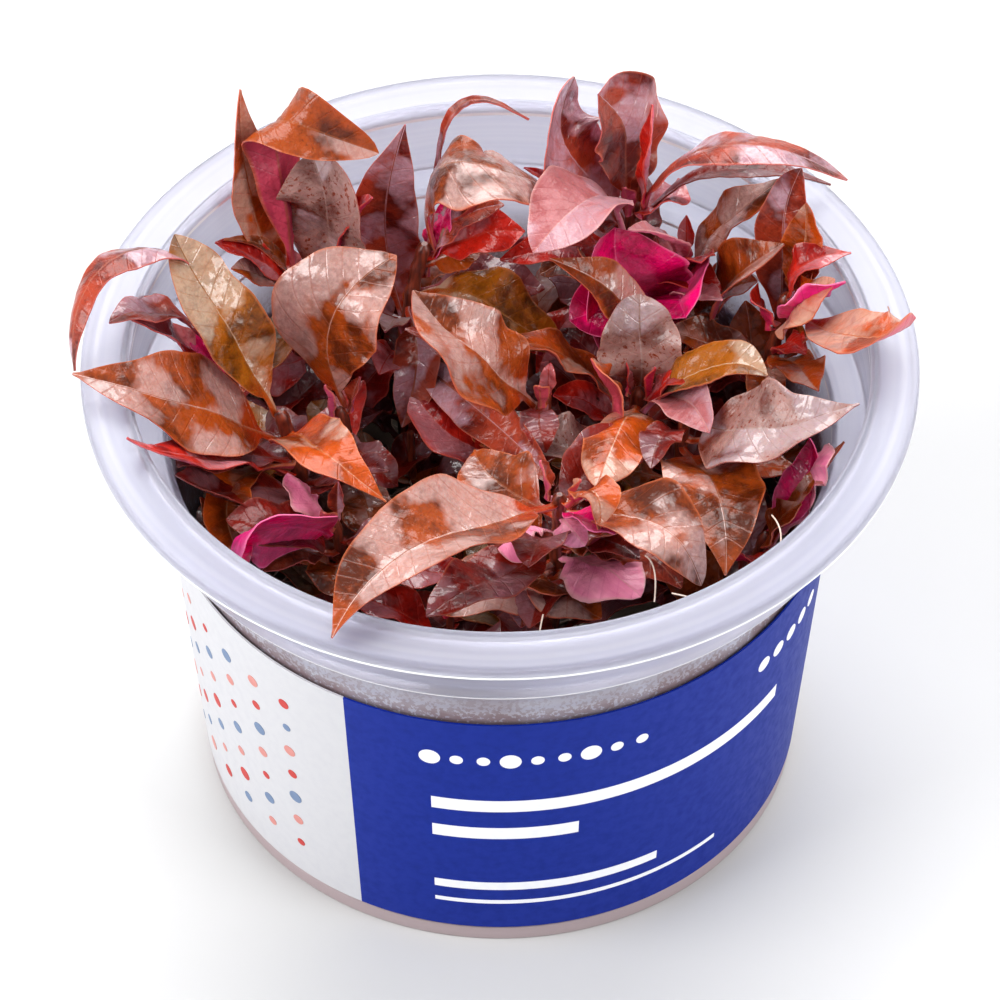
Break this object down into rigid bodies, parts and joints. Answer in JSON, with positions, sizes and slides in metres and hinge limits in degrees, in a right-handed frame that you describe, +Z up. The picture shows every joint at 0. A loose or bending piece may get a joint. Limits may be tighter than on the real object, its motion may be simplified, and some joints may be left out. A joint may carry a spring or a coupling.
{
  "type": "alternanthera reineckii plant in a tissue-culture cup",
  "caption": "Bushy red-brown aquarium stem plant with pointed leaves, rooted in clear gel in a round translucent plastic cup with a wide flange and a wrap label.",
  "frame": {"origin": "centre of the cup's flat underside, on the surface that it stands on", "axes": "+Z up along the cup's axis, -Y towards the viewer of the label's front, +X to that viewer's right"},
  "size_m": [0.1015, 0.1, 0.0791],
  "materials": {
    "cup_plastic": "clear to milky injection-moulded polypropylene",
    "label_film": "satin printed film",
    "gel": "cloudy wet gel",
    "stem": "satin red-brown stem",
    "mauve": "wet gloss, mauve-brown leaf",
    "olive": "wet gloss, olive-brown leaf",
    "brown": "wet gloss, red-brown leaf",
    "orange": "wet gloss, orange-brown leaf",
    "red": "wet gloss, red leaf",
    "maroon": "wet gloss, dark maroon leaf",
    "silver": "wet gloss, leaf with a silver-grey sheen",
    "pink": "wet gloss, pale pink leaf",
    "magenta": "satin, magenta underside of a leaf"
  },
  "bodies": {
    "root": {"cup": "cup_plastic", "label": "label_film", "gel": "gel", "stem_far_west": "stem", "leaf_far_west_1": "mauve", "stem_west": "stem", "leaf_west_1": "olive", "leaf_west_2": "brown", "leaf_west_3": "orange", "leaf_west_4": "red", "leaf_west_5": "maroon", "stem_inner_west": "stem", "leaf_inner_west_1": "brown", "stem_north_west": "stem", "leaf_north_west_1": "brown", "leaf_north_west_2": "orange", "leaf_north_west_3": "brown", "stem_north": "stem", "leaf_north_1": "brown", "leaf_north_2": "mauve", "leaf_north_3": "mauve", "leaf_north_4": "olive", "leaf_north_5": "mauve", "stem_north_east": "stem", "leaf_north_east_1": "brown", "leaf_north_east_2": "mauve", "leaf_north_east_3": "mauve", "leaf_north_east_4": "pink", "stem_east_back": "stem", "leaf_east_back_1": "magenta", "leaf_east_back_2": "brown", "leaf_east_back_3": "brown", "stem_east": "stem", "leaf_east_1": "mauve", "leaf_east_2": "red", "leaf_east_3": "orange", "leaf_east_4": "orange", "leaf_east_5": "orange", "stem_mid_right": "stem", "leaf_mid_right_1": "brown", "leaf_mid_right_2": "silver", "leaf_mid_right_3": "olive", "leaf_mid_right_4": "orange", "leaf_mid_right_5": "silver", "stem_middle": "stem", "leaf_middle_1": "brown", "leaf_middle_2": "magenta", "stem_east_front": "stem", "leaf_east_front_1": "silver", "leaf_east_front_2": "brown", "stem_south": "stem", "leaf_south_1": "orange", "leaf_south_2": "maroon", "leaf_south_3": "brown", "leaf_south_4": "brown", "leaf_south_5": "pink", "stem_south_west": "stem", "leaf_south_west_1": "magenta", "stem_south_east": "stem", "leaf_south_east_1": "magenta"}
  },
  "joints": []
}
